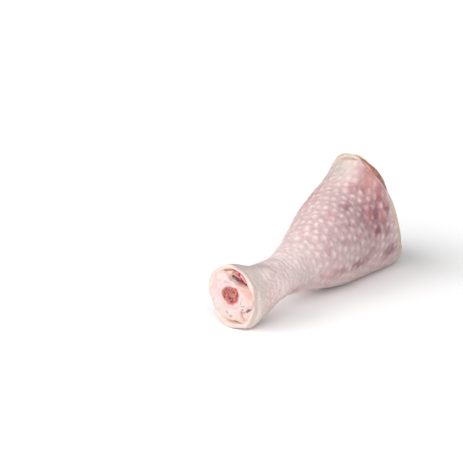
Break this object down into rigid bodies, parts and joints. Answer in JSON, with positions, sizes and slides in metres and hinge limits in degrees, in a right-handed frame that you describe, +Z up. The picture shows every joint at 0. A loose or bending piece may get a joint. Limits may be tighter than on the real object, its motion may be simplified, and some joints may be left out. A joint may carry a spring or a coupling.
{
  "type": "raw chicken drumstick",
  "caption": "Raw chicken drumstick lying on its side, with bumpy pink skin, a cut hock end with white gristle and red marrow, and meat bulging from the knee end.",
  "frame": {"origin": "middle of the leg's bounding box, at the surface that it lies on", "axes": "+X from the hock to the knee, +Z up, +Y to the leg's left"},
  "size_m": [0.1434, 0.0496, 0.0626],
  "materials": {
    "skin": "moist, bumpy, pale pink and mauve",
    "meat": "moist, fibrous, pinkish red",
    "fat": "soft, satin, cream",
    "gristle": "moist, satin, white to pale pink",
    "bone": "matte, cream",
    "marrow": "wet, spongy, dark red",
    "cartilage": "smooth, glossy, bluish white"
  },
  "bodies": {
    "root": {"skin": "skin", "meat": "meat", "fat_lobe": "fat", "hock_pad": "gristle", "shin_bone": "bone", "marrow": "marrow", "knee_cartilage": "cartilage"}
  },
  "joints": []
}
